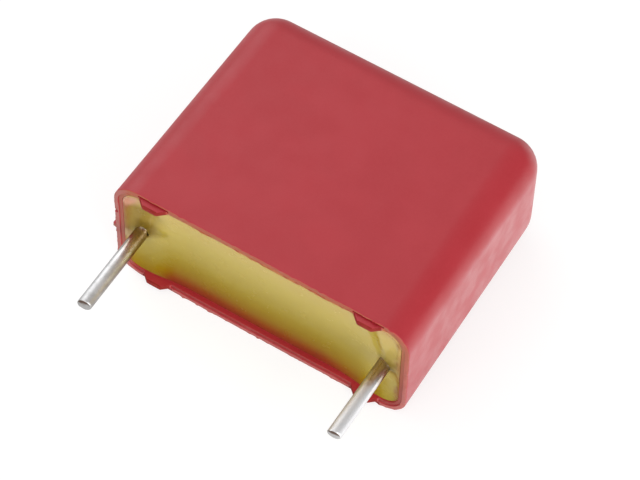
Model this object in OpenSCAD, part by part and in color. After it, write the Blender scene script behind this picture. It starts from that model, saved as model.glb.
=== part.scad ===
// Boxed film capacitor with two radial wire leads.
// It lies on a broad side: X runs from the left lead to the right one, the leads point along -Y, and Z is up.
// The origin is midway between the leads, on the plane that the feet would seat on a circuit board.

/* [Case] */
// Distance from the middle of a lead to the case's end wall, outside
lead_inset = 1.5; // [1.4:0.05:2]
// Thickness of the case, between its broad faces, at the open rim
case_t = 7.8; // [7:0.1:10]
// Height of the case from its open rim to its closed end, without the feet
case_h = 14.6; // [13:0.1:17]
// Thickness of the side walls
wall = 0.5; // [0.4:0.05:0.6]
// Thickness of the closed end
end_wall = 0.8; // [0.5:0.05:1.2]
// Radius of the four long edges, at the rim
edge_r = 1.55; // [1:0.05:2]
// Radius of the edges round the closed end
crown_r = 1.8; // [1.2:0.05:2.2]
// Draft: how far each side face leans in from the rim to the closed end
draft = 0.09; // [0.02:0.01:0.2]
// Width of the raised land round the outside of the rim
rim_land = 0.27; // [0.2:0.01:0.35]
// How far the rim steps down inside that land
rim_step = 0.06; // [0.02:0.01:0.1]

/* [Feet] */
// Height of the feet that stand off the rim
foot_h = 0.4; // [0.3:0.05:0.8]
// Width of a foot where it leaves the rim
foot_root_w = 1.8; // [1.4:0.05:2.4]
// Width of a foot at its tip
foot_tip_w = 0.85; // [0.5:0.05:1.3]
// Distance from the middle of a foot to the case's end wall, outside
foot_from_end = 2.5; // [2.3:0.05:4]
// How far a foot is set back from the case's outer face
foot_inset = 0.2; // [0.1:0.05:0.25]

/* [Gate] */
// Width of the broken-off moulding gate on the left end wall
gate_w = 0.45; // [0.3:0.05:0.8]
// How far the gate stub stands out of the end wall
gate_out = 0.25; // [0.1:0.05:0.4]
// Depth of the gate stub, measured from the rim
gate_depth = 0.4; // [0.2:0.05:0.8]
// Height of the gate stub from the middle of the end wall
gate_z = -0.35; // [-1.5:0.05:1.5]

/* [Leads] */
// Distance between the two leads
pitch = 15; // [10:0.5:27.5]
// Diameter of the lead wire
wire_d = 0.8; // [0.6:0.05:0.9]
// Free length of the left lead past the feet
lead_left_l = 4.8; // [3:0.1:30]
// Free length of the right lead past the feet
lead_right_l = 4.4; // [3:0.1:30]
// Bevel round a lead's cut end
wire_bevel = 0.06; // [0.02:0.01:0.12]
// Thickness that the wire is pressed to where it is welded to the winding
flat_t = 0.45; // [0.4:0.01:0.5]
// Length over which the wire changes from round to flat
neck_l = 0.6; // [0.4:0.05:0.9]
// Length of the weld between the pressed wire and the winding
weld_l = 7.5; // [4:0.1:9]

/* [Resin] */
// Depth of the resin's surface under the rim, beside the walls
fill_gap = 0.42; // [0.35:0.01:0.6]
// Radius of the resin creeping up the walls
creep_r = 0.3; // [0.15:0.05:0.4]
// Height and width of the resin collar round a lead
collar_r = 0.4; // [0.3:0.05:0.45]
// How far the resin's surface sinks in the middle
sag = 0.32; // [0.1:0.02:0.5]
// Cover of resin between the rim and the winding
cover = 2; // [1.6:0.1:3]

/* [Winding] */
// Gap between the winding and the broad walls
side_gap = 0.35; // [0.2:0.05:0.6]
// Gap between the winding and the closed end
top_gap = 0.35; // [0.2:0.05:0.8]
// Thickness of the plain film sleeve round the roll
sleeve_t = 0.15; // [0.08:0.01:0.3]
// Thickness of the sprayed metal on each end of the roll
spray_t = 0.5; // [0.3:0.05:0.6]
// How far the sprayed metal stays inside the roll's outline
spray_inset = 0.2; // [0.1:0.05:0.4]
// Width of the pressed-flat slit in the middle of the roll
slit_t = 0.12; // [0.06:0.02:0.3]
// Length of that slit
slit_l = 4; // [2:0.1:4.6]

/* [Hidden] */

bond = 0.01;       // clearance between pieces that are stuck to each other
over = 0.02;       // how far a cutting shape runs past the face it cuts
land = 0.05;       // thinnest edge that the resin creeps out to
fine = 64;         // facets in a circle of the case's outside
plain = 40;        // facets in a circle of the case's inside
smooth = 96;       // facets in a circle of the round pieces

rim_y = foot_h;
closed_y = rim_y + case_h;
lead_x = pitch / 2;
half_l = lead_x + lead_inset;
case_l = 2 * half_l;
half_t = case_t / 2;
wire_r = wire_d / 2;
foot_x = half_l - foot_from_end;

// the cavity, at the rim
cav_l = case_l - 2 * wall;
cav_t = case_t - 2 * wall;
cav_edge_r = max(edge_r - wall, 0.3);
cav_crown_r = max(crown_r - wall, 0.3);
cav_y = closed_y - end_wall;

// the resin's surface beside the walls, and the top of the collars
level_y = rim_y + fill_gap;
collar_y = level_y - collar_r;
// the round part of a wire ends just inside its collar
round_y = collar_y + 0.05;

// the winding: an oval, its flats against the broad walls
wind_t = cav_t - 2 * draft - 2 * side_gap;
wind_y0 = rim_y + cover;
wind_y1 = cav_y - top_gap;
wind_h = wind_y1 - wind_y0;
wind_y = (wind_y0 + wind_y1) / 2;
spray_x = lead_x - flat_t / 2;
roll_x = spray_x - spray_t;
roll_t = wind_t - 2 * sleeve_t - 2 * bond;
roll_h = wind_h - 2 * sleeve_t - 2 * bond;

// pressing keeps the wire's cross-section area
flat_w = (PI * wire_r ^ 2 - PI * flat_t ^ 2 / 4) / flat_t + flat_t;
flat_y0 = round_y + neck_l;
flat_y1 = wind_y + weld_l / 2;

// A shape drawn in X and Z, extruded along Y from y0 to y1
module along_y(y0, y1) {
    translate([0, y1, 0]) rotate([90, 0, 0]) linear_extrude(y1 - y0) children();
}

// A shape drawn in Y (as its X) and Z (as its Y), extruded along X from x0 to x1
module along_x(x0, x1) {
    translate([x0, 0, 0]) rotate([90, 0, 90]) linear_extrude(x1 - x0) children();
}

module rounded_rect(l, t, r, fn) {
    square([l - 2 * r, t], center = true);
    square([l, t - 2 * r], center = true);
    for (x = [-1, 1], y = [-1, 1])
        translate([x * (l / 2 - r), y * (t / 2 - r)]) circle(r, $fn = fn);
}

// An oval with flat sides: h long, t across, its round ends of radius t / 2
module oval(h, t) {
    square([h - t, t], center = true);
    for (s = [-1, 1]) translate([s * (h - t) / 2, 0]) circle(t / 2, $fn = smooth);
}

// A box with drafted sides, open outline at y0 and a rounded closed end at y1
module drafted_box(l, t, y0, y1, r_open, r_closed, lean, fn) {
    hull() {
        along_y(y0, y0 + over) rounded_rect(l, t, r_open, fn);
        for (x = [-1, 1], z = [-1, 1])
            translate([x * (l / 2 - lean - r_closed), y1 - r_closed, z * (t / 2 - lean - r_closed)])
                rotate([90, 0, 0]) sphere(r_closed, $fn = fn);
    }
}

// The space inside the case, smaller by gap on every side
module cavity(gap, y0) {
    drafted_box(cav_l - 2 * gap, cav_t - 2 * gap, y0, cav_y - gap,
                cav_edge_r - gap, cav_crown_r - gap, draft, plain);
}

// A stand-off foot: a flat plate that narrows to its tip, rooted in the broad wall
module foot() {
    linear_extrude(wall - foot_inset)
        polygon([[-foot_root_w / 2, rim_y + wall], [-foot_root_w / 2, rim_y], [-foot_tip_w / 2, 0],
                 [foot_tip_w / 2, 0], [foot_root_w / 2, rim_y], [foot_root_w / 2, rim_y + wall]]);
}

// The body of the case, solid, with the step round its rim
module case_body() {
    difference() {
        drafted_box(case_l, case_t, rim_y, closed_y, edge_r, crown_r, draft, fine);
        along_y(rim_y - over, rim_y + rim_step)
            rounded_rect(case_l - 2 * rim_land, case_t - 2 * rim_land, edge_r - rim_land, fine);
    }
}

// The stub that is left where the moulding gate was broken off
module gate_stub() {
    translate([-half_l - gate_out, rim_y, gate_z]) rotate([-90, 0, 0])
        linear_extrude(gate_depth)
            polygon([[0, -gate_w * 0.3], [gate_out + wall / 2, -gate_w / 2],
                     [gate_out + wall / 2, gate_w / 2], [0, gate_w * 0.2]]);
}

module case() {
    color("#b5454d") difference() {
        union() {
            case_body();
            for (x = [-1, 1]) {
                translate([x * foot_x, 0, half_t - wall]) foot();
                translate([x * foot_x, 0, foot_inset - half_t]) foot();
            }
            gate_stub();
        }
        cavity(0, rim_y - over);
    }
}

// A flat-bottomed plug with rounded corners and a rounded bottom edge, from y0 down to y1
module plug(l, t, y0, y1, corner, edge) {
    along_y(y0, y1) rounded_rect(l - 2 * edge, t - 2 * edge, corner - edge, smooth);
    along_y(y0, y1 - edge) rounded_rect(l, t, corner, smooth);
    translate([0, y1 - edge, 0]) {
        for (z = [-1, 1]) translate([0, 0, z * (t / 2 - edge)]) rotate([0, 90, 0])
            cylinder(r = edge, h = l - 2 * corner, center = true, $fn = smooth);
        for (x = [-1, 1]) {
            translate([x * (l / 2 - edge), 0, 0])
                cylinder(r = edge, h = t - 2 * corner, center = true, $fn = smooth);
            for (z = [-1, 1]) translate([x * (l / 2 - corner), 0, z * (t / 2 - corner)])
                rotate([90, 0, 0]) rotate_extrude($fn = smooth)
                    translate([corner - edge, 0]) circle(edge, $fn = smooth);
        }
    }
}

// The dish that the resin sinks to between the leads: a shallow round trough with round ends
module dish() {
    half_w = cav_t / 2 - land - creep_r;
    r = (half_w ^ 2 + sag ^ 2) / (2 * sag);
    run = lead_x - wire_r - half_w;
    translate([0, level_y + sag - r, 0]) {
        rotate([0, 90, 0]) cylinder(r = r, h = 2 * run, center = true, $fn = 2 * smooth);
        for (x = [-1, 1]) translate([x * run, 0, 0]) rotate([90, 0, 0]) sphere(r, $fn = 2 * smooth);
    }
}

// The resin that climbs each lead
module collar() {
    translate([0, level_y, 0]) rotate([90, 0, 0]) rotate_extrude($fn = smooth)
        difference() {
            translate([0, -sag]) square([wire_r + land + collar_r, sag + collar_r]);
            translate([wire_r + land + collar_r, collar_r]) circle(collar_r, $fn = smooth);
        }
}

// The space that one lead fills inside the resin, larger by gap
module lead_inside(gap) {
    hull() {
        along_y(round_y, round_y + over) circle(wire_r - land + gap, $fn = 32);
        along_y(flat_y0, flat_y0 + over) rotate(90) flat_section(gap, 32);
    }
    along_y(flat_y0, flat_y1 + gap) rotate(90) flat_section(gap, smooth);
}

// The pressed wire: as thick as flat_t, round at both edges
module flat_section(gap, fn) {
    square([flat_w - flat_t, flat_t + 2 * gap], center = true);
    for (s = [-1, 1]) translate([s * (flat_w - flat_t) / 2, 0]) circle(flat_t / 2 + gap, $fn = fn);
}

module potting() {
    color("#c2b264") difference() {
        union() {
            difference() {
                cavity(bond, rim_y + land);
                plug(cav_l - 2 * bond - 2 * land, cav_t - 2 * bond - 2 * land, rim_y - 1, level_y,
                     cav_edge_r - land, creep_r);
                dish();
            }
            intersection() {
                for (x = [-1, 1]) translate([x * lead_x, 0, 0]) collar();
                cavity(bond, rim_y - 1);
            }
        }
        for (x = [-1, 1]) translate([x * lead_x, 0, 0]) {
            along_y(rim_y - 1, round_y + over) circle(wire_r + bond, $fn = smooth);
            lead_inside(bond);
        }
        translate([0, wind_y, 0]) {
            along_x(-roll_x - bond, roll_x + bond) oval(wind_h + 2 * bond, wind_t + 2 * bond);
            along_x(-spray_x - bond, spray_x + bond)
                oval(wind_h - 2 * spray_inset + 2 * bond, wind_t - 2 * spray_inset + 2 * bond);
        }
    }
}

module film_roll() {
    color("#d9d6c8") translate([0, wind_y, 0]) along_x(-roll_x, roll_x) difference() {
        oval(roll_h, roll_t);
        square([slit_l, slit_t], center = true);
    }
}

module cover_film() {
    color("#e9e7dc") translate([0, wind_y, 0]) along_x(-roll_x, roll_x) difference() {
        oval(wind_h, wind_t);
        oval(roll_h + 2 * bond, roll_t + 2 * bond);
    }
}

module end_spray() {
    color("#9a9a96") translate([0, wind_y, 0]) along_x(roll_x, spray_x)
        oval(wind_h - 2 * spray_inset, wind_t - 2 * spray_inset);
}

module end_spray_left() {
    mirror([1, 0, 0]) end_spray();
}

module end_spray_right() {
    end_spray();
}

// A lead: bevelled at its cut end, round as far as the resin, then pressed flat along the winding's end
module lead(free_l) {
    color("#c9c9c6") translate([lead_x, 0, 0]) {
        translate([0, -free_l, 0]) rotate([-90, 0, 0])
            cylinder(r1 = wire_r - wire_bevel, r2 = wire_r, h = wire_bevel, $fn = smooth);
        along_y(wire_bevel - free_l, round_y) circle(wire_r, $fn = smooth);
        lead_inside(0);
    }
}

module lead_left() {
    mirror([1, 0, 0]) lead(lead_left_l);
}

module lead_right() {
    lead(lead_right_l);
}

case();
potting();
film_roll();
cover_film();
end_spray_left();
end_spray_right();
lead_left();
lead_right();
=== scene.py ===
import math

import bmesh
import bpy
import numpy as np
from mathutils import Matrix, Vector, noise
from mathutils.geometry import delaunay_2d_cdt


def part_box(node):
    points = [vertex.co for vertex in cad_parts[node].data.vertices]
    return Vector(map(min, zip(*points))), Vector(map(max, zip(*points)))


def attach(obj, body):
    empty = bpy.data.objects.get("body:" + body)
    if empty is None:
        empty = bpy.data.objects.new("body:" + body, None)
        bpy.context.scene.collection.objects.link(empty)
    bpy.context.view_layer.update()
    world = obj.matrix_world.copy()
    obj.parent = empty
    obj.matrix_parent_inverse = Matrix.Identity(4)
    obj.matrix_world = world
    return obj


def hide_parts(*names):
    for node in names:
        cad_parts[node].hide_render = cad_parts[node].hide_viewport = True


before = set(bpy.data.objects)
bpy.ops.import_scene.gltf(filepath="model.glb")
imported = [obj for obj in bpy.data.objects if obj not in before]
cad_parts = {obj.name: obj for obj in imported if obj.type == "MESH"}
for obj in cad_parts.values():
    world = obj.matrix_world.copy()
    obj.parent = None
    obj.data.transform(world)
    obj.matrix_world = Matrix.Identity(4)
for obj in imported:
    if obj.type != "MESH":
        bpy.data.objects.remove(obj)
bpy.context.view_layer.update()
MM = 0.001

# ---------------------------------------------------------------- sizes in mm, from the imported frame


def box_mm(node):
    low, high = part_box(node)
    return np.array(low) / MM, np.array(high) / MM


case_low, case_high = box_mm("case")
resin_low, resin_high = box_mm("potting")
left_low, left_high = box_mm("lead_left")
right_low, right_high = box_mm("lead_right")
roll_low, roll_high = box_mm("cover_film")

HALF_L, HALF_T, CLOSED_Y = case_high[0], case_high[2], case_high[1]
RIM_Y = 0.4                     # the rim stands this far behind the tips of the feet
CAST_GAP = 0.01                 # between the resin and what it is cast against
WALL = HALF_L - resin_high[0] - CAST_GAP
EDGE_R, CROWN_R, DRAFT, END_WALL = 1.55, 1.8, 0.09, 0.8
RIM_LAND, RIM_STEP = 0.27, 0.06  # the rim steps down inside a raised land
LEAD_X = (right_low[0] + right_high[0]) / 2
WIRE_R = (right_high[0] - right_low[0]) / 2

# ---------------------------------------------------------------- small helpers


def smooth(t):
    t = np.clip(t, 0.0, 1.0)
    return t * t * (3 - 2 * t)


def bump(d, width):
    """1 where d is 0, falling off to 0 over about two widths."""
    return np.exp(-(d / width) ** 2)


def rough(x, y, z=0.0, scale=1.0, octaves=3):
    """Fractal noise of one point, about -1 to 1."""
    return noise.fractal(Vector((x * scale, y * scale, z * scale)), 0.9, 2.1, octaves)


def new_object(name, verts_mm, faces, material=None):
    mesh = bpy.data.meshes.new(name)
    mesh.from_pydata([tuple(v) for v in np.asarray(verts_mm) * MM], [], [tuple(f) for f in faces])
    mesh.validate()
    obj = bpy.data.objects.new(name, mesh)
    bpy.context.scene.collection.objects.link(obj)
    if material:
        mesh.materials.append(material)
    return obj


def fix_normals(obj):
    bm = bmesh.new()
    bm.from_mesh(obj.data)
    bmesh.ops.recalc_face_normals(bm, faces=bm.faces)
    bm.to_mesh(obj.data)
    bm.free()


def shade(obj, angle):
    obj.data.shade_smooth()
    obj.data.set_sharp_from_angle(angle=math.radians(angle))


def apply_modifiers(obj):
    depsgraph = bpy.context.evaluated_depsgraph_get()
    mesh = bpy.data.meshes.new_from_object(obj.evaluated_get(depsgraph))
    obj.modifiers.clear()
    obj.data = mesh


def boolean(obj, tool, operation):
    """obj with tool cut from it or joined to it. The tool is used up."""
    modifier = obj.modifiers.new("join", "BOOLEAN")
    modifier.operation = operation
    modifier.object = tool
    modifier.solver = "MANIFOLD"
    apply_modifiers(obj)
    bpy.data.objects.remove(tool)


def place(piece):
    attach(piece, "root")
    return piece


# ---------------------------------------------------------------- materials

RANGE_SOCKETS = ("From Min", "From Max", "To Min", "To Max")
POLYMER_IOR = 1.5


class Nodes:
    """A material's node tree, with short calls to add and link nodes."""

    def __init__(self, name):
        self.material = bpy.data.materials.new(name)
        self.material.use_nodes = True
        self.tree = self.material.node_tree
        self.bsdf = self.tree.nodes["Principled BSDF"]
        self.coordinates = self.add("ShaderNodeTexCoord")
        scale = self.add("ShaderNodeVectorMath", operation="SCALE")
        scale.inputs["Scale"].default_value = 1 / MM
        self.link(self.coordinates.outputs["Object"], scale.inputs[0])
        self.mm = scale.outputs[0]          # the point in millimetres

    def add(self, kind, **settings):
        node = self.tree.nodes.new(kind)
        for key, value in settings.items():
            setattr(node, key, value)
        return node

    def link(self, source, target):
        self.tree.links.new(source, target)

    def stretched(self, x, y, z):
        node = self.add("ShaderNodeVectorMath", operation="MULTIPLY")
        node.inputs[1].default_value = (x, y, z)
        self.link(self.mm, node.inputs[0])
        return node.outputs[0]

    def noise(self, scale, detail=3.0, roughness=0.5, vector=None):
        node = self.add("ShaderNodeTexNoise")
        node.inputs["Scale"].default_value = scale
        node.inputs["Detail"].default_value = detail
        node.inputs["Roughness"].default_value = roughness
        self.link(vector or self.mm, node.inputs["Vector"])
        return node.outputs["Fac"]

    def spread(self, value, low, high, to_low=0.0, to_high=1.0):
        node = self.add("ShaderNodeMapRange", interpolation_type="SMOOTHSTEP")
        for socket, number in zip(RANGE_SOCKETS, (low, high, to_low, to_high)):
            node.inputs[socket].default_value = number
        self.link(value, node.inputs["Value"])
        return node.outputs["Result"]

    def math(self, operation, a, b):
        node = self.add("ShaderNodeMath", operation=operation)
        for socket, value in zip(node.inputs, (a, b)):
            if isinstance(value, (int, float)):
                socket.default_value = value
            else:
                self.link(value, socket)
        return node.outputs[0]

    def mix(self, factor, a, b):
        node = self.add("ShaderNodeMix", data_type="RGBA")
        for socket, value in ((node.inputs["Factor"], factor), (node.inputs[6], a), (node.inputs[7], b)):
            if isinstance(value, tuple):
                socket.default_value = (*value, 1.0)
            elif isinstance(value, float):
                socket.default_value = value
            else:
                self.link(value, socket)
        return node.outputs[2]

    def axis(self, name):
        node = self.add("ShaderNodeSeparateXYZ")
        self.link(self.mm, node.inputs[0])
        return node.outputs[name]

    def facing(self, name):
        """How far the surface faces along one axis, -1 to 1."""
        node = self.add("ShaderNodeSeparateXYZ")
        self.link(self.coordinates.outputs["Normal"], node.inputs[0])
        return node.outputs[name]

    def shaken(self, value, amount, scale):
        """value, moved to and fro by noise."""
        return self.math("ADD", value, self.spread(self.noise(scale, 3.0), 0.25, 0.75, -amount, amount))

    def spot(self, x, z, inner, outer):
        """1 inside a round spot in X and Z, fading to 0."""
        away = self.add("ShaderNodeVectorMath", operation="DISTANCE")
        self.link(self.stretched(1.0, 0.0, 1.0), away.inputs[0])
        away.inputs[1].default_value = (x, 0.0, z)
        return self.spread(self.shaken(away.outputs["Value"], 0.12, 1.8), inner, outer, 1.0, 0.0)

    def ramp(self, value, stops):
        """Colours along value, from a list of (value, colour) in rising order."""
        low, high = stops[0][0], stops[-1][0]
        share = self.add("ShaderNodeMapRange")
        share.inputs["From Min"].default_value, share.inputs["From Max"].default_value = low, high
        self.link(value, share.inputs["Value"])
        node = self.add("ShaderNodeValToRGB")
        node.color_ramp.interpolation = "B_SPLINE"
        while len(node.color_ramp.elements) < len(stops):
            node.color_ramp.elements.new(0.5)
        for element, (at, color) in zip(node.color_ramp.elements, stops):
            element.position = (at - low) / (high - low)
            element.color = (*color, 1.0)
        self.link(share.outputs["Result"], node.inputs["Fac"])
        return node.outputs["Color"]

    def relief(self, height, depth_mm, strength=1.0, under=None):
        node = self.add("ShaderNodeBump")
        node.inputs["Distance"].default_value = depth_mm * MM
        node.inputs["Strength"].default_value = strength
        self.link(height, node.inputs["Height"])
        if under is not None:
            self.link(under, node.inputs["Normal"])
        return node.outputs["Normal"]

    def finish(self, color, roughness, normal=None, **sockets):
        self.link(color, self.bsdf.inputs["Base Color"])
        self.link(roughness, self.bsdf.inputs["Roughness"])
        if normal is not None:
            self.link(normal, self.bsdf.inputs["Normal"])
        for name, value in sockets.items():
            self.bsdf.inputs[name.replace("_", " ")].default_value = value
        return self.material


def linear(r, g, b):
    """A colour as it shows on screen, 0 to 255, as the linear values that the shaders take."""
    shown = (r / 255, g / 255, b / 255)
    return tuple(c / 12.92 if c <= 0.04045 else ((c + 0.055) / 1.055) ** 2.4 for c in shown)


def rim_stain_and_shade(n):
    """Where the rim is, and its colour: resin has stained it, most on the step inside its land. The land is
    paler partly as a painted highlight where its face catches light, and the step is darker along the lower
    side as painted shade in the crevice.
    """
    y, height = n.axis("Y"), n.shaken(n.axis("Z"), 0.4, 0.7)
    on_rim = n.math("MULTIPLY", n.spread(y, RIM_Y - 0.1, RIM_Y - 0.06),
                    n.spread(y, RIM_Y + 0.09, RIM_Y + 0.12, 1.0, 0.0))
    on_rim = n.math("MULTIPLY", on_rim, n.spread(n.facing("Y"), -0.9, -0.4, 1.0, 0.0))
    upward = n.spread(height, -HALF_T, HALF_T)
    left = n.spread(n.axis("X"), -HALF_L + 0.3, -HALF_L + 1.2, 0.9, 0.0)
    # the land's paler colour is resin smear and a painted highlight; the step's dark red along the lower
    # side is painted shade in the crevice
    land = n.mix(left, n.mix(upward, linear(184, 92, 86), linear(172, 83, 57)), linear(175, 100, 94))
    step = n.mix(left, n.mix(upward, linear(150, 36, 30), linear(170, 96, 56)), linear(162, 82, 64))
    return on_rim, n.mix(n.spread(n.shaken(y, 0.02, 2.0), RIM_Y, RIM_Y + RIM_STEP), land, step)


def shaded_foot_ends():
    """The tips of the feet: the red plastic, darker as painted shade."""
    n = Nodes("shaded_foot_ends")
    cloudy = n.spread(n.noise(2.0, 3.0), 0.3, 0.7)
    body = n.mix(cloudy, linear(140, 30, 26), linear(152, 44, 36))
    roughness = n.spread(n.noise(3.0, 2.0), 0.3, 0.7, 0.4, 0.55)
    grain = n.relief(n.noise(22.0, 2.0), 0.004, 0.5)
    return n.finish(body, roughness, grain, IOR=POLYMER_IOR, Specular_IOR_Level=0.15)


def red_plastic():
    n = Nodes("red_plastic")
    cloudy = n.spread(n.noise(0.35, 4.0), 0.35, 0.65)
    fine = n.spread(n.noise(9.0, 2.0), 0.3, 0.7)
    body = n.mix(cloudy, linear(175, 37, 47), linear(179, 41, 51))
    body = n.mix(n.math("MULTIPLY", fine, 0.15), body, linear(186, 54, 62))
    on_rim, stain_and_shade = rim_stain_and_shade(n)
    body = n.mix(on_rim, body, stain_and_shade)
    roughness = n.spread(n.noise(0.8, 3.0), 0.3, 0.7, 0.34, 0.44)
    grain = n.relief(n.noise(26.0, 3.0, 0.6), 0.0035, 0.5)
    wave = n.relief(n.noise(0.55, 2.0, 0.5, n.stretched(1.0, 0.45, 1.0)), 0.014, 0.4, grain)
    return n.finish(body, roughness, wave, IOR=POLYMER_IOR)


def resin_colors(n):
    """Yellow resin with painted light over its height: darker and browner toward the lower wall as painted
    shade and a painted reflection of the red wall, reddest right at that wall where it is thin over the red
    plastic, paler upward as a painted reflection of the pale floor, and more orange right along the upper
    wall.
    """
    x, z = n.axis("X"), n.axis("Z")
    # the paler painted light of the upper side comes lower down at both ends, and a little along the right
    # half
    ends = n.spread(n.math("ABSOLUTE", x, 0.0), 5.6, 7.0, 0.0, 0.9)
    lift = n.math("ADD", ends, n.spread(x, 7.1, 7.8, 0.0, 0.95))
    lift = n.math("MULTIPLY", lift, n.spread(z, -0.5, 1.5, 1.0, 0.0))
    lift = n.math("ADD", lift, n.spread(x, 3.5, 6.0, 0.0, 0.3))
    body = n.ramp(n.math("ADD", n.shaken(z, 0.05, 0.4), lift), [
        (-3.35, linear(136, 28, 6)), (-3.0, linear(142, 74, 6)), (-2.6, linear(146, 108, 4)),
        (-2.0, linear(153, 125, 6)), (-1.2, linear(167, 145, 44)), (0.2, linear(185, 165, 80)),
        (1.4, linear(200, 180, 96)), (2.6, linear(208, 180, 106))])
    patches = n.spread(n.noise(0.9, 4.0, 0.55), 0.35, 0.68, 0.0, 0.12)
    cloudy = n.math("MULTIPLY", patches, n.spread(z, -1.8, -0.6))
    body = n.mix(cloudy, body, linear(194, 176, 88))
    return n.mix(n.spread(z, 2.4, 3.3, 0.0, 0.75), body, linear(202, 148, 96))


def left_end(n, body):
    """Painted shade, browner, over the sprayed end; a thin film over the red wall; and two pale painted
    highlights on the meniscus.
    """
    x, z = n.shaken(n.axis("X"), 0.15, 1.3), n.shaken(n.axis("Z"), 0.15, 1.1)
    # painted shade, browner, between the foot and the lead
    painted_shade = n.math("MULTIPLY", n.spread(x, -7.4, -5.8, 0.85, 0.0), n.spread(z, -0.7, 0.4))
    body = n.mix(n.math("MULTIPLY", painted_shade, n.spread(z, 1.9, 2.6, 1.0, 0.25)), body, linear(142, 114, 40))
    body = n.mix(n.spread(x, -8.65, -7.95, 0.9, 0.0), body, linear(154, 88, 64))
    # two pale patches: painted highlights on the meniscus
    body = n.mix(n.math("MULTIPLY", n.spot(-8.15, 2.5, 0.1, 0.7), 0.85), body, linear(210, 152, 130))
    body = n.mix(n.math("MULTIPLY", n.spot(-8.3, -0.6, 0.1, 0.65), 0.85), body, linear(194, 166, 120))
    return n.mix(n.math("MULTIPLY", n.spot(-6.42, 0.35, 0.15, 0.5), 0.8), body, linear(166, 146, 36))


def cast_resin():
    n = Nodes("cast_resin")
    body = resin_colors(n)
    body = left_end(n, body)
    # a more saturated strip between the crease and the raised corner
    x, z = n.shaken(n.axis("X"), 0.06, 0.9), n.axis("Z")
    near = n.spread(n.math("ADD", x, n.math("MULTIPLY", z, 0.45)), 6.85, 7.1)
    far = n.spread(n.math("ADD", x, n.math("MULTIPLY", z, 0.16)), 7.15, 7.5, 0.9, 0.0)
    strip = n.math("MULTIPLY", n.math("MULTIPLY", near, far), n.spread(z, -0.1, 0.7))
    body = n.mix(strip, body, linear(184, 160, 36))
    # it is a thin film on the end wall, so the plastic shows through
    right = n.spread(n.shaken(n.axis("X"), 0.2, 1.1), HALF_L - 1.0, HALF_L - 0.5, 0.0, 0.8)
    body = n.mix(right, body, linear(158, 96, 50))
    # painted shadow darkens it round the roots of the leads
    root_shadows = [(-LEAD_X + 0.15, 0.25, 1.0, 0.85), (LEAD_X + 0.15, 0.0, 0.9, 0.8),
             (LEAD_X + 0.4, 0.45, 1.3, 0.4)]
    for x, z, reach, share in root_shadows:
        body = n.mix(n.math("MULTIPLY", n.spot(x, z, 0.15, reach), share), body, linear(104, 80, 6))
    roughness = n.spread(n.noise(1.6, 3.0), 0.3, 0.7, 0.16, 0.28)
    wave = n.relief(n.noise(0.8, 2.0), 0.01, 0.3)
    n.bsdf.inputs["Subsurface Radius"].default_value = (0.6 * MM, 0.45 * MM, 0.15 * MM)
    return n.finish(body, roughness, wave, IOR=POLYMER_IOR, Specular_IOR_Level=0.2,
                    Subsurface_Weight=0.15, Subsurface_Scale=1.0)


def resin_film():
    """The thin bead of resin on the rim's step, with the red plastic showing through."""
    n = Nodes("resin_film")
    patchy = n.spread(n.noise(2.4, 3.0), 0.35, 0.65)
    body = n.mix(patchy, linear(168, 78, 44), linear(186, 116, 66))
    body = n.mix(n.spread(n.axis("X"), 0.5 - HALF_L, 1.3 - HALF_L, 0.7, 0.0), body, linear(178, 84, 66))
    roughness = n.spread(n.noise(3.0, 2.0), 0.3, 0.7, 0.32, 0.5)
    lumps = n.relief(n.noise(5.0, 2.0), 0.01, 0.4)
    return n.finish(body, roughness, lumps, IOR=POLYMER_IOR, Specular_IOR_Level=0.3)


def tinned_wire():
    n = Nodes("tinned_wire")
    drawn = n.noise(9.0, 3.0, 0.6, n.stretched(1.0, 0.06, 1.0))
    patchy = n.spread(n.noise(1.7, 4.0, 0.6), 0.35, 0.65)
    body = n.mix(patchy, linear(204, 204, 204), linear(224, 224, 225))
    right = n.spread(n.axis("X"), -1.0, 1.0)    # the right lead is the duller and paler of the two
    body = n.mix(n.math("MULTIPLY", right, 0.8), body, linear(232, 232, 233))
    # painted reflection of the resin and painted shade make the tin browner where it leaves the resin
    y = n.shaken(n.axis("Y"), 0.3, 2.0)
    body = n.mix(n.spread(y, -1.5, 0.1, 0.0, 0.85), body, linear(156, 130, 90))
    # painted shade darkens the upper edge of the cut, where the shears bared the core
    cut = n.math("MULTIPLY", n.spread(n.facing("Y"), -0.95, -0.6, 1.0, 0.0),
                 n.spread(n.shaken(n.axis("Z"), 0.08, 3.0), 0.02, 0.26, 0.12, 0.95))
    body = n.mix(cut, body, linear(112, 88, 74))
    # smooth near the resin, dulled by handling toward the ends
    roughness = n.math("ADD", n.spread(drawn, 0.25, 0.75, 0.0, 0.1), n.spread(y, -2.4, -0.2, 0.4, 0.16))
    roughness = n.math("ADD", roughness, n.math("MULTIPLY", right, 0.08))
    scratches = n.relief(drawn, 0.01, 0.5)
    n.bsdf.inputs["Specular Tint"].default_value = (0.66, 0.65, 0.64, 1.0)
    return n.finish(body, roughness, scratches, Metallic=1.0)


def wound_film():
    n = Nodes("wound_film")
    turns = n.noise(6.0, 2.0, 0.5, n.stretched(0.05, 1.0, 1.0))
    body = n.mix(n.spread(turns, 0.3, 0.7), linear(196, 196, 192), linear(216, 215, 208))
    return n.finish(body, n.spread(turns, 0.3, 0.7, 0.22, 0.36), n.relief(turns, 0.01, 0.4), IOR=POLYMER_IOR)


def plain_film():
    n = Nodes("plain_film")
    milky = n.noise(1.2, 3.0)
    body = n.mix(n.spread(milky, 0.3, 0.7), linear(226, 222, 204), linear(238, 236, 222))
    return n.finish(body, n.spread(milky, 0.3, 0.7, 0.18, 0.3), n.relief(milky, 0.01, 0.3), IOR=POLYMER_IOR)


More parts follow.
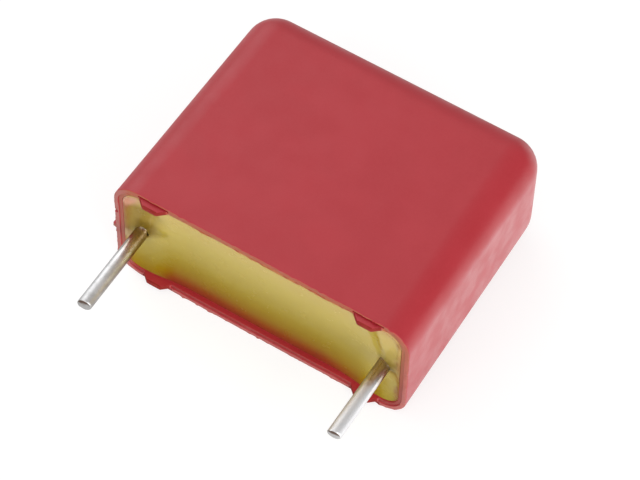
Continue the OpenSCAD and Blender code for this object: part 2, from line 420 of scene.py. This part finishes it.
def sprayed_zinc():
    n = Nodes("sprayed_zinc")
    grains = n.noise(11.0, 4.0, 0.7)
    body = n.mix(n.spread(grains, 0.3, 0.7), linear(150, 150, 147), linear(182, 182, 178))
    return n.finish(body, n.spread(grains, 0.3, 0.7, 0.5, 0.7), n.relief(grains, 0.03, 0.9), Metallic=0.85)


RED, SHADED_ENDS, RESIN, FILM, TIN = red_plastic(), shaded_foot_ends(), cast_resin(), resin_film(), tinned_wire()

# ---------------------------------------------------------------- the moulded case


def outline(half_x, half_z, radius, n_x=120, n_z=38, n_corner=12):
    """Points of a rounded rectangle in X and Z, anticlockwise, the same number for every size."""
    points = []
    for k, (sx, sz, steps) in enumerate(((1, 1, n_x), (-1, 1, n_z), (-1, -1, n_x), (1, -1, n_z))):
        centre = np.array([sx * (half_x - radius), sz * (half_z - radius)])
        angles = np.radians(90 * k + np.linspace(0, 90, n_corner + 1))
        arc = centre + radius * np.stack([np.cos(angles), np.sin(angles)], 1)
        points.extend(arc)
        following = np.array([-sz * (half_x - radius), sx * (half_z - radius)])
        turn = np.radians(90 * (k + 1))
        start = following + radius * np.array([math.cos(turn), math.sin(turn)])
        for t in np.linspace(0, 1, steps + 1)[1:-1]:
            points.append(arc[-1] * (1 - t) + start * t)
    return np.array(points)


def drafted_ring(y, half_x, half_z, r_open, r_closed, end_y):
    """Half sizes and corner radius at height y, of a drafted box with a rounded closed end."""
    bend_y = end_y - r_closed
    if y <= bend_y:
        t = (y - RIM_Y) / (bend_y - RIM_Y)
        return half_x - DRAFT * t, half_z - DRAFT * t, r_open + (r_closed - r_open) * t
    reach = math.sqrt(max(r_closed ** 2 - (y - bend_y) ** 2, 0.0))
    shrink = DRAFT + r_closed - reach
    return half_x - shrink, half_z - shrink, max(reach, 0.03)


def heights(rim_step, end_y, r_closed):
    """Levels from just behind the rim to the closed end, closer together at both."""
    bend_y = end_y - r_closed
    near = RIM_Y + np.array([0.1, 0.16, 0.24, 0.35, 0.5, 0.7, 1.0, 1.4, 1.9, 2.5])
    far = np.linspace(RIM_Y + 3.3, bend_y, 15)
    angles = np.radians(np.linspace(0, 88.6, 15))[1:]
    return [*near[near > RIM_Y + rim_step], *far, *(bend_y + r_closed * np.sin(angles))]


def rim_profile():
    """The rim's section, from the cavity outward: inset from the outer face, height, share of flash."""
    ledge, turn = RIM_Y + RIM_STEP, np.radians([0, 30, 60, 90])
    inner = [(WALL - 0.04 * (1 - math.cos(t)), ledge + 0.04 * (1 - math.sin(t)), 0.0) for t in turn]
    middle = [(0.38, ledge, 0.0), (RIM_LAND + 0.012, ledge, 0.0), (RIM_LAND, ledge - 0.015, 0.2),
              (RIM_LAND - 0.008, RIM_Y + 0.012, 0.3), (RIM_LAND - 0.025, RIM_Y, 0.3), (0.15, RIM_Y, 0.4)]
    outer = [(0.05 * (1 - math.cos(t)), RIM_Y + 0.05 * (1 - math.sin(t)), 1.0) for t in reversed(turn)]
    return inner + middle + outer


def rim_drift(x, z, flash_share):
    """How far the rim stands off its nominal plane: low waves, and a ragged flash at its outer edge."""
    wave = 0.016 * rough(x, 0.0, z, 0.6, 2)
    flash = 0.09 * max(rough(x, 5.0, z, 3.4, 3) - 0.1, 0.0) * flash_share
    return wave - flash


def rim_wander(x, z):
    """How far the step inside the land strays sideways."""
    return 0.028 * rough(x, 9.0, z, 1.3, 3)


def case_shell():
    """The case without its feet, as one skin from the cavity's floor over the rim to the closed end."""
    outer = (HALF_L, HALF_T, EDGE_R, CROWN_R, CLOSED_Y)
    inner = (HALF_L - WALL, HALF_T - WALL, EDGE_R - WALL, CROWN_R - WALL, CLOSED_Y - END_WALL)
    rings = []
    for y in reversed(heights(RIM_STEP + 0.05, inner[4], inner[3])):
        rings.append((drafted_ring(y, *inner), y, 0.0, 0.0, 0.0))
    for inset, y, flash in rim_profile():
        size = (HALF_L - inset, HALF_T - inset, EDGE_R - inset)
        rings.append((size, y, 1.0, flash, float(abs(inset - RIM_LAND) < 0.03)))
    for y in heights(0.08, outer[4], outer[3]):
        rings.append((drafted_ring(y, *outer), y, 0.0, 0.0, 0.0))
    verts = []
    for size, y, at_rim, flash, at_step in rings:
        for x, z in outline(*size):
            drift = at_rim * rim_drift(x, z, flash)
            wander = at_step * rim_wander(x, z)
            verts.append((x * (1 + wander / HALF_L), y + drift, z * (1 + wander / HALF_T)))
    count = len(verts) // len(rings)
    faces = []
    for k in range(len(rings) - 1):
        a, b = k * count, (k + 1) * count
        faces.extend((a + i, a + (i + 1) % count, b + (i + 1) % count, b + i) for i in range(count))
    faces.append(tuple(range(count)))
    faces.append(tuple(reversed(range((len(rings) - 1) * count, len(rings) * count))))
    shell = new_object("case_shell", verts, faces, RED)
    fix_normals(shell)
    return shell


def slab(name, outline_xy, z0, z1, edge=0.0):
    """A flat plate with its outline in X and Y and its edges rounded off."""
    n = len(outline_xy)
    verts = [(x, y, z) for z in (z0, z1) for x, y in outline_xy]
    faces = [tuple(range(n)), tuple(reversed(range(n, 2 * n)))]
    faces += [(i, (i + 1) % n, n + (i + 1) % n, n + i) for i in range(n)]
    plate = new_object(name, verts, faces, RED)
    fix_normals(plate)
    if edge:
        bm = bmesh.new()
        bm.from_mesh(plate.data)
        bmesh.ops.bevel(bm, geom=bm.edges[:], offset=edge * MM, segments=3, profile=0.6, affect="EDGES")
        bm.to_mesh(plate.data)
        bm.free()
    return plate


FOOT_X, FOOT_ROOT, FOOT_TIP, FOOT_SET_BACK = HALF_L - 2.5, 0.9, 0.425, 0.2


def add_feet(shell):
    for sx in (-1, 1):
        for sz in (-1, 1):
            lo, hi = sorted((sz * (HALF_T - WALL), sz * (HALF_T - FOOT_SET_BACK)))
            x = sx * FOOT_X
            shape = [(x - FOOT_ROOT, RIM_Y + 0.3), (x - FOOT_ROOT, RIM_Y + 0.02), (x - FOOT_TIP, 0.0),
                     (x + FOOT_TIP, 0.0), (x + FOOT_ROOT, RIM_Y + 0.02), (x + FOOT_ROOT, RIM_Y + 0.3)]
            groove_z = sorted((sz * (HALF_T - FOOT_SET_BACK - 0.01), sz * (HALF_T - FOOT_SET_BACK + 0.11)))
            groove = [(x - FOOT_ROOT - 0.02, RIM_Y - 0.2), (x + FOOT_ROOT + 0.06, RIM_Y - 0.2),
                      (x + FOOT_ROOT + 0.06, RIM_Y + 0.25), (x - FOOT_ROOT - 0.02, RIM_Y + 0.25)]
            boolean(shell, slab("groove", groove, *groove_z), "DIFFERENCE")
            boolean(shell, slab("foot", shape, lo, hi, 0.1), "UNION")


def chunk(name, centre, size, seed):
    """A rough broken lump of plastic."""
    bm = bmesh.new()
    bmesh.ops.create_icosphere(bm, subdivisions=3, radius=1.0)
    for v in bm.verts:
        p = v.co.copy()
        boxed = [math.copysign(abs(c) ** 0.55, c) for c in p]
        lump = 1 + 0.22 * rough(p.x + seed, p.y, p.z, 1.6, 3)
        v.co = Vector([(centre[i] + size[i] * boxed[i] * lump) * MM for i in range(3)])
    mesh = bpy.data.meshes.new(name)
    bm.to_mesh(mesh)
    bm.free()
    obj = bpy.data.objects.new(name, mesh)
    bpy.context.scene.collection.objects.link(obj)
    mesh.materials.append(RED)
    return obj


def build_case():
    shell = case_shell()
    add_feet(shell)
    boolean(shell, chunk("gate", (-HALF_L - 0.02, RIM_Y + 0.2, -0.35), (0.2, 0.17, 0.2), 3.0), "UNION")
    boolean(shell, chunk("nick", (-HALF_L + 0.05, RIM_Y - 0.02, 1.25), (0.16, 0.1, 0.13), 8.0), "DIFFERENCE")
    # the darker tips of the feet are painted shade
    shell.data.materials.append(SHADED_ENDS)
    for face in shell.data.polygons:
        at_foot = abs(abs(face.center.x) - FOOT_X * MM) < MM
        if at_foot and face.center.y < (RIM_Y - 0.03) * MM and face.normal.y < -0.15:
            face.material_index = 1
    shade(shell, 32)
    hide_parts("case")
    return place(shell)


# ---------------------------------------------------------------- the cast resin

IN_X, IN_Z, IN_R = HALF_L - WALL - CAST_GAP, HALF_T - WALL - CAST_GAP, EDGE_R - WALL - CAST_GAP
LEVEL_MIDDLE, LEVEL_ENDS = 0.56, 0.36   # depth of the resin under the rim
LEAST_DEPTH = 0.075                     # the resin never comes nearer to the rim than this
LEAD_HOLE_R = WIRE_R + 0.004
RESIN_TO_ROLL = 0.05                    # the piece ends this far in front of the winding
RIDGE = np.array([(3.4, 6.3), (2.05, 6.42), (1.26, 6.72), (0.76, 6.95),   # Z and X of the crease
                  (-0.26, 7.09), (-1.2, 7.6), (-3.4, 8.3)])


def wall_distance(x, z):
    """How far a point lies inside the cavity's wall."""
    qx, qz = np.abs(x) - (IN_X - IN_R), np.abs(z) - (IN_Z - IN_R)
    outside = np.hypot(np.maximum(qx, 0), np.maximum(qz, 0))
    return IN_R - outside - np.minimum(np.maximum(qx, qz), 0)


def resin_depth(x, z):
    """Depth of the resin's surface under the rim."""
    wall = np.maximum(wall_distance(x, z), 0.0)
    depth = LEVEL_MIDDLE + (LEVEL_ENDS - LEVEL_MIDDLE) * smooth((np.abs(x) - 4.6) / 2.6)
    depth = depth + 0.16 * smooth(wall / 2.6)
    # it stands higher round the right lead, up to a crease that runs from the foot to the lead
    crease = np.interp(-z, -RIDGE[:, 0], RIDGE[:, 1])
    raised = smooth((x - crease) / 0.7)
    depth = depth - 0.14 * raised * smooth((z + 1.3) / 1.5)
    # creep up the walls: least at the lower one, most at the left end
    upper = smooth((z + 2.2) / 4.0)
    climb = 0.2 + 0.16 * upper
    reach = 0.3 - 0.12 * upper
    depth = depth - climb * np.exp(-wall / reach)
    left = np.exp(-(x + IN_X) / 0.38)
    depth = depth - 0.16 * left
    # collars round the leads, and a low pimple and a blister by the left one
    for sx, height, width in ((-1, 0.16, 0.2), (1, 0.14, 0.26)):
        rho = np.maximum(np.hypot(x - sx * LEAD_X, z) - WIRE_R, 0)
        depth = depth - height * np.exp(-rho / width)
    depth = depth - 0.09 * bump(np.hypot((x + 6.36) / 1.15, z - 0.58), 0.3)
    depth = depth - 0.08 * bump(np.hypot(x + 8.3, (z + 0.7) / 1.4), 0.42)
    return np.maximum(depth, LEAST_DEPTH)


def inside(points, margin):
    return wall_distance(points[:, 0], points[:, 1]) > margin


def build_resin():
    """The visible front of the resin: a closed block, flat before the winding, open at the leads."""
    loops = [outline(IN_X, IN_Z, IN_R, 200, 64, 20)]
    hole_angles = np.linspace(0, 2 * math.pi, 49)[:-1]
    for sx in (-1, 1):
        loops.append(np.stack([sx * LEAD_X + LEAD_HOLE_R * np.cos(hole_angles),
                               LEAD_HOLE_R * np.sin(hole_angles)], 1))
    points, edges, start = [], [], 0
    for loop in loops:
        points.extend(loop)
        edges += [(start + i, start + (i + 1) % len(loop)) for i in range(len(loop))]
        start += len(loop)
    for inset in (0.02, 0.05, 0.09, 0.14, 0.2, 0.27, 0.35):
        points.extend(outline(IN_X - inset, IN_Z - inset, IN_R - inset, 200, 64, 20))
    for sx in (-1, 1):
        for ring in (0.02, 0.05, 0.09, 0.14, 0.2, 0.28):
            r = LEAD_HOLE_R + ring
            points.extend(np.stack([sx * LEAD_X + r * np.cos(hole_angles), r * np.sin(hole_angles)], 1))
    step = 0.075
    gx, gz = np.meshgrid(np.arange(-IN_X, IN_X, step), np.arange(-IN_Z, IN_Z, step * 0.9))
    gx[::2] += step / 2
    grid = np.stack([gx.ravel(), gz.ravel()], 1)
    clear = inside(grid, 0.42)
    for sx in (-1, 1):
        clear &= np.hypot(grid[:, 0] - sx * LEAD_X, grid[:, 1]) > WIRE_R + 0.34
    points.extend(grid[clear])
    made = delaunay_2d_cdt([Vector((float(p[0]), float(p[1]))) for p in points], edges, [], 0, 1e-6)
    flat = np.array([(p[0], p[1]) for p in made[0]])
    triangles = []
    for face in made[2]:
        centre = flat[list(face)].mean(0)
        in_hole = min(np.hypot(centre[0] - sx * LEAD_X, centre[1]) for sx in (-1, 1)) < WIRE_R
        if not in_hole and wall_distance(centre[0], centre[1]) > 0:
            triangles.append(tuple(face))
    top = np.stack([flat[:, 0], RIM_Y + resin_depth(flat[:, 0], flat[:, 1]), flat[:, 1]], 1)
    under = top.copy()
    under[:, 1] = roll_low[1] - RESIN_TO_ROLL
    n = len(flat)
    border = {}
    for a, b, c in triangles:
        for edge in ((a, b), (b, c), (c, a)):
            border[edge] = border.get(edge, 0) + 1
    sides = [(b, a, n + a, n + b) for a, b in border if (b, a) not in border]
    faces = triangles + [tuple(n + i for i in reversed(t)) for t in triangles] + sides
    resin = new_object("resin_fill", np.concatenate([top, under]), faces, RESIN)
    bm = bmesh.new()
    bm.from_mesh(resin.data)
    loose = [v for v in bm.verts if not v.link_faces]
    bmesh.ops.delete(bm, geom=loose, context="VERTS")
    bmesh.ops.recalc_face_normals(bm, faces=bm.faces)
    bm.to_mesh(resin.data)
    bm.free()
    shade(resin, 50)
    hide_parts("potting")
    return place(resin)


def lip_thickness(x, z):
    """How much resin lies on the step of the rim, 0 to 1: most along the upper side, none below."""
    amount = 0.35 + 0.5 * smooth((z + 1) / 3) + 1.1 * rough(x, 3.0, z, 0.8, 3)
    ends = smooth((abs(x) - 7.3) / 0.8)
    return float(np.clip(amount - 1.5 * smooth((-2.4 - z) / 0.8) - 0.9 * ends, 0.0, 1.0))


def build_lip():
    """A bead of resin on the step of the rim, running down the wall inside."""
    section_points = [(0.30, 0.09), (0.285, 0.04), (0.30, 0.018), (0.34, 0.004), (0.41, 0.0), (0.47, 0.015),
                      (0.51, 0.06), (0.53, 0.16), (0.535, 0.4), (0.48, 0.4), (0.44, 0.2), (0.40, 0.13)]
    front = 9       # the section points before this one lie in the open
    verts = []
    for k, (inset, height) in enumerate(section_points):
        for x, z in outline(HALF_L - inset, HALF_T - inset, EDGE_R - inset, 220, 70, 18):
            sink = (1 - lip_thickness(x, z)) if k < front else 0.0
            shrink = 1 + (0.07 * sink if k >= 6 else 0.03 * sink) / HALF_L
            down = 0.085 * sink if k < 7 else 0.0
            lump = 0.012 * rough(x, height, z, 2.6, 3) if 0 < k < front else 0.0
            sunk = 0.35 * float(smooth((-z - 2.7) / 0.5))    # out of sight along the lower side
            y = RIM_Y + max(height + down + lump, 0.002) + sunk
            verts.append((x * shrink, y, z * (1 + (shrink - 1) * 2)))
    count = len(verts) // len(section_points)
    faces = []
    for k in range(len(section_points)):
        a, b = k * count, (k + 1) % len(section_points) * count
        faces.extend((a + i, a + (i + 1) % count, b + (i + 1) % count, b + i) for i in range(count))
    lip = new_object("resin_lip", verts, faces, FILM)
    fix_normals(lip)
    shade(lip, 60)
    return place(lip)


# ---------------------------------------------------------------- the leads

PRESS_START = 0.47      # the wire is round up to here, and pressed flat behind


def section(share, count=64):
    """A lead's section from round, share 0, to pressed flat, share 1."""
    angles = np.linspace(0, 2 * math.pi, count + 1)[:-1]
    flat_t, flat_half = 0.225, (right_high[2] - right_low[2]) / 2
    circle = WIRE_R * np.stack([np.cos(angles), np.sin(angles)], 1)
    straight = flat_half - flat_t
    across = flat_t * np.sin(angles) + np.sign(np.sin(angles)) * straight
    pressed = np.stack([flat_t * np.cos(angles), across], 1)
    return circle * (1 - share) + pressed * share


def build_lead(name, node, x, tip_y, end_y, tilt, seed):
    """A straight tinned wire with a sheared end, pressed flat where it is welded inside."""
    count = 64
    lean = np.array([math.cos(tilt), math.sin(tilt)])
    rings = []
    for share, back in ((0.0, 0.0), (0.3, 0.0), (0.6, 0.0), (0.82, 0.004), (0.94, 0.02), (1.0, 0.06)):
        rings.append((section(0.0, count) * share, tip_y + back, 1.0))
    levels = [*np.linspace(tip_y + 0.14, PRESS_START, 44), *np.linspace(PRESS_START, 1.07, 8)[1:],
              end_y - 0.03, end_y]
    for y in levels:
        pressed = float(smooth((y - PRESS_START) / 0.6))
        shape = section(pressed, count)
        if y == end_y:
            shape = shape * 0.93
        rings.append((shape, y, max(0.0, 1 - (y - tip_y) / 0.5)))
    verts = []
    for k, (shape, y, near_tip) in enumerate(rings):
        for px, pz in shape:
            side = (px * lean[0] + pz * lean[1]) / WIRE_R
            shear = near_tip * 0.05 * (1 - side)
            burr = -0.04 * near_tip ** 4 * smooth((side - 0.72) / 0.25) if k >= 3 else 0.0
            swell = 1 + 0.008 * rough(px + seed, y * 0.5, pz, 1.3, 2) if 0 < k and y < 0.5 else 1.0
            grit = 0.012 * rough(px * 6 + seed, 0, pz * 6, 1.0, 3) if k < 4 else 0.0
            swell = min(swell, 1.0)
            verts.append((x + px * swell, max(y + shear + burr + grit, tip_y), pz * swell))
    verts[:count] = [(x, tip_y + 0.05, 0.0)] * count
    verts = verts[count - 1:]
    faces = [(0, 1 + (i + 1) % count, 1 + i) for i in range(count)]
    total = len(rings) - 1
    for k in range(total - 1):
        a, b = 1 + k * count, 1 + (k + 1) * count
        faces.extend((a + i, a + (i + 1) % count, b + (i + 1) % count, b + i) for i in range(count))
    last = 1 + (total - 1) * count
    faces.append(tuple(reversed(range(last, last + count))))
    lead = new_object(name, verts, faces, TIN)
    fix_normals(lead)
    shade(lead, 42)
    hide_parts(node)
    return place(lead)


def build_pieces():
    build_case()
    build_resin()
    build_lip()
    build_lead("wire_left", "lead_left", -LEAD_X, left_low[1], left_high[1], math.radians(200), 1.0)
    build_lead("wire_right", "lead_right", LEAD_X, right_low[1], right_high[1], math.radians(140), 4.0)
    finishes = {"film_roll": wound_film(), "cover_film": plain_film()}
    zinc = sprayed_zinc()
    finishes["end_spray_left"] = finishes["end_spray_right"] = zinc
    for node, material in finishes.items():
        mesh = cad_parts[node].data
        mesh.materials.clear()
        mesh.materials.append(material)


# ---------------------------------------------------------------- floor, light and camera


def camera_sees(tree, camera, other):
    """camera for what the camera sees itself or in a mirror or glass, other for the light it gives."""
    nodes, links = tree.nodes, tree.links
    path = nodes.new("ShaderNodeLightPath")
    seen = nodes.new("ShaderNodeMath")
    seen.operation = "MAXIMUM"
    links.new(path.outputs["Is Camera Ray"], seen.inputs[0])
    through = nodes.new("ShaderNodeMath")
    through.operation = "MAXIMUM"
    links.new(path.outputs["Is Transmission Ray"], through.inputs[0])
    links.new(path.outputs["Is Glossy Ray"], through.inputs[1])
    links.new(through.outputs[0], seen.inputs[1])
    mix = nodes.new("ShaderNodeMixShader")
    links.new(seen.outputs[0], mix.inputs[0])
    links.new(other, mix.inputs[1])
    links.new(camera, mix.inputs[2])
    return mix.outputs[0]


def smooth_range(nodes, links, value, limits):
    ramp = nodes.new("ShaderNodeMapRange")
    ramp.interpolation_type = "SMOOTHSTEP"
    for socket, number in zip(RANGE_SOCKETS, limits):
        ramp.inputs[socket].default_value = number
    links.new(value, ramp.inputs["Value"])
    return ramp.outputs["Result"]


def painted_floor_light(nodes, links):
    """Painted light that the floor adds in reflections: little in front of the part, as painted shade, and
    more beside its right wall, as a painted pool of light.
    """
    split = nodes.new("ShaderNodeSeparateXYZ")
    links.new(nodes.new("ShaderNodeTexCoord").outputs["Object"], split.inputs[0])
    beside = smooth_range(nodes, links, split.outputs["X"], (7 * MM, 10 * MM, 0.0, 1.0))
    depth = smooth_range(nodes, links, split.outputs["Y"], (-4 * MM, 14 * MM, 0.7, 1.0))
    extra = nodes.new("ShaderNodeMath")
    extra.operation = "MULTIPLY_ADD"
    links.new(beside, extra.inputs[0])
    links.new(depth, extra.inputs[1])
    extra.inputs[2].default_value = 0.36
    return extra.outputs[0]


def build_floor():
    size = 600.0
    z = case_low[2]
    floor = new_object("floor", [(-size, -size, z), (size, -size, z), (size, size, z), (-size, size, z)],
                       [(0, 1, 2, 3)])
    material = bpy.data.materials.new("pale_floor")
    material.use_nodes = True
    nodes, links = material.node_tree.nodes, material.node_tree.links
    nodes.clear()
    output = nodes.new("ShaderNodeOutputMaterial")
    plain = nodes.new("ShaderNodeBsdfDiffuse")
    plain.inputs["Color"].default_value = (0.8, 0.8, 0.79, 1)
    shaded = nodes.new("ShaderNodeBsdfDiffuse")
    shaded.inputs["Color"].default_value = (0.34, 0.34, 0.335, 1)
    glow = nodes.new("ShaderNodeEmission")
    path = nodes.new("ShaderNodeLightPath")
    # glossy rays see painted light on the floor: painted shade in front of the part, a painted pool of light
    # beside its right wall
    strength = nodes.new("ShaderNodeMix")
    strength.inputs["A"].default_value = 0.74
    links.new(path.outputs["Is Glossy Ray"], strength.inputs["Factor"])
    links.new(painted_floor_light(nodes, links), strength.inputs["B"])
    links.new(strength.outputs["Result"], glow.inputs["Strength"])
    both = nodes.new("ShaderNodeAddShader")
    links.new(shaded.outputs[0], both.inputs[0])
    links.new(glow.outputs[0], both.inputs[1])
    links.new(camera_sees(material.node_tree, both.outputs[0], plain.outputs[0]), output.inputs[0])
    floor.data.materials.append(material)


def build_world():
    """Plain studio light: pale overhead and to the left, dimmer round the horizon. The camera sees white."""
    world = bpy.data.worlds.new("studio")
    bpy.context.scene.world = world
    world.use_nodes = True
    nodes, links = world.node_tree.nodes, world.node_tree.links
    nodes.clear()
    output = nodes.new("ShaderNodeOutputWorld")
    coordinates = nodes.new("ShaderNodeTexCoord")
    split = nodes.new("ShaderNodeSeparateXYZ")
    links.new(coordinates.outputs["Generated"], split.inputs[0])
    height = smooth_range(nodes, links, split.outputs["Z"], (0.0, 0.85, 0.52, 0.84))
    side = smooth_range(nodes, links, split.outputs["X"], (-0.9, 0.5, 1.35, 0.8))
    strength = nodes.new("ShaderNodeMath")
    strength.operation = "MULTIPLY"
    links.new(height, strength.inputs[0])
    links.new(side, strength.inputs[1])
    light = nodes.new("ShaderNodeBackground")
    links.new(strength.outputs[0], light.inputs["Strength"])
    white = nodes.new("ShaderNodeBackground")
    white.inputs["Strength"].default_value = 1.0
    path = nodes.new("ShaderNodeLightPath")
    mix = nodes.new("ShaderNodeMixShader")
    links.new(path.outputs["Is Camera Ray"], mix.inputs[0])
    links.new(light.outputs[0], mix.inputs[1])
    links.new(white.outputs[0], mix.inputs[2])
    links.new(mix.outputs[0], output.inputs[0])


# name, azimuth, elevation, distance and size in metres, watts
LIGHTS = (("key", -120.0, 36.0, 0.30, 0.26, 0.21),
          ("right", 66.0, 20.0, 0.30, 0.18, 0.5),
          ("front", -8.0, 22.0, 0.30, 0.16, 0.22))


def area_light(name, azimuth, elevation, distance, size, watts):
    """A soft box that faces the object. Azimuth 0 is at -Y, 90 at +X."""
    az, el = math.radians(azimuth), math.radians(elevation)
    way = Vector((math.sin(az) * math.cos(el), -math.cos(az) * math.cos(el), math.sin(el)))
    data = bpy.data.lights.new(name, "AREA")
    data.shape = "SQUARE"
    data.size = size
    data.energy = watts
    light = bpy.data.objects.new(name, data)
    light.location = way * distance
    light.rotation_euler = (-way).to_track_quat("-Z", "Y").to_euler()
    bpy.context.scene.collection.objects.link(light)


def build_camera():
    azimuth, elevation, roll = 30.64, 56.81, 1.57
    distance, focal_px, width_px = 0.15765, 2990.0, 640.0
    aim = Vector((0.653, 5.325, -0.091)) * MM
    az, el = math.radians(azimuth), math.radians(elevation)
    back = Vector((math.sin(az) * math.cos(el), -math.cos(az) * math.cos(el), math.sin(el)))
    level = Vector((math.cos(az), math.sin(az), 0.0))
    over = back.cross(level)
    turn = math.radians(roll)
    right = level * math.cos(turn) + over * math.sin(turn)
    up = back.cross(right)
    data = bpy.data.cameras.new("camera")
    data.sensor_width = 36.0
    data.lens = focal_px / width_px * data.sensor_width
    data.clip_start, data.clip_end = 0.01, 5.0
    camera = bpy.data.objects.new("camera", data)
    rotation = Matrix((right, up, back)).transposed().to_4x4()
    camera.matrix_world = Matrix.Translation(aim + back * distance) @ rotation
    bpy.context.scene.collection.objects.link(camera)
    bpy.context.scene.camera = camera


build_pieces()
build_floor()
build_world()
for light in LIGHTS:
    area_light(*light)
build_camera()
bpy.context.scene.view_settings.view_transform = "Standard"
